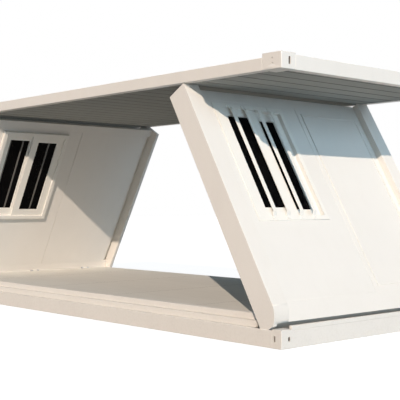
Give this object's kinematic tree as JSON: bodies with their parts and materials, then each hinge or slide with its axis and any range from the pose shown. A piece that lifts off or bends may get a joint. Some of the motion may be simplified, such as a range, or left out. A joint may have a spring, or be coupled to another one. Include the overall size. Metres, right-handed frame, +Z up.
{
  "type": "foldable container house",
  "caption": "Foldable container house, partly unfolded: a flat roof frame lies on inward-leaning end walls with windows, over a base frame with a floor; both long sides are open.",
  "frame": {"origin": "middle of the footprint, on the ground", "axes": "+X along the house to the near end wall, +Y across to the back, +Z up"},
  "size_m": [5.95, 2.57, 2.3],
  "materials": {
    "frame_paint": "satin",
    "panel_paint": "satin",
    "ceiling_paint": "gloss",
    "roof_sheet": "satin",
    "floor_finish": "gloss",
    "window_profile": "satin",
    "dark_glass": "gloss",
    "zinc_steel": "satin"
  },
  "bodies": {
    "base": {"front_side_beam": "frame_paint", "back_side_beam": "frame_paint", "near_end_beam": "frame_paint", "far_end_beam": "frame_paint", "base_castings": "frame_paint", "floor_cross_members": "zinc_steel", "floor_deck": "floor_finish", "floor_edge_steps": "frame_paint", "trough_pans": "frame_paint", "hinge_lugs": "zinc_steel", "hinge_pins": "zinc_steel"},
    "near_wall": {"near_front_post": "frame_paint", "near_back_post": "frame_paint", "near_top_rail": "panel_paint", "near_bottom_rail": "panel_paint", "near_joint_strip": "panel_paint", "near_window_panel": "panel_paint", "near_blank_panel": "panel_paint", "near_panel_bead": "panel_paint", "near_window_casing": "window_profile", "near_window_sashes": "window_profile", "near_window_glass": "dark_glass"},
    "far_wall": {"far_front_post": "frame_paint", "far_back_post": "frame_paint", "far_top_rail": "panel_paint", "far_bottom_rail": "panel_paint", "far_joint_strip": "panel_paint", "far_window_panel": "panel_paint", "far_blank_panel": "panel_paint", "far_panel_bead": "panel_paint", "far_window_casing": "window_profile", "far_window_sashes": "window_profile", "far_window_glass": "dark_glass"},
    "carrier": {"fold_carrier": "zinc_steel"},
    "roof": {"roof_front_beam": "frame_paint", "roof_back_beam": "frame_paint", "roof_near_beam": "frame_paint", "roof_far_beam": "frame_paint", "roof_castings": "frame_paint", "roof_joists": "zinc_steel", "roof_sheet": "roof_sheet", "roof_ceiling": "ceiling_paint"}
  },
  "joints": [
    {"name": "roof_carry", "type": "hinge", "parent": "near_wall", "child": "carrier", "pos_m": [2.24499, 0, 1.2068], "axis": [0, 1, 0], "range_deg": [-60, 120]},
    {"name": "near_wall_fold", "type": "hinge", "parent": "base", "child": "near_wall", "pos_m": [2.675, 0, 0.247], "axis": [0, -1, 0], "range_deg": [-30, 60]},
    {"name": "far_wall_fold", "type": "hinge", "parent": "base", "child": "far_wall", "pos_m": [-2.675, 0, 0.247], "axis": [0, 1, 0], "range_deg": [-30, 60]},
    {"name": "roof_level", "type": "hinge", "parent": "carrier", "child": "roof", "pos_m": [2.675, 0, 2.1666], "axis": [0, -1, 0], "range_deg": [-30, 60]}
  ],
  "couplings": [
    {"joint": "near_wall_fold", "follows": "roof_carry", "ratio": 0.5},
    {"joint": "far_wall_fold", "follows": "roof_carry", "ratio": 0.5},
    {"joint": "roof_level", "follows": "roof_carry", "ratio": 0.5}
  ]
}
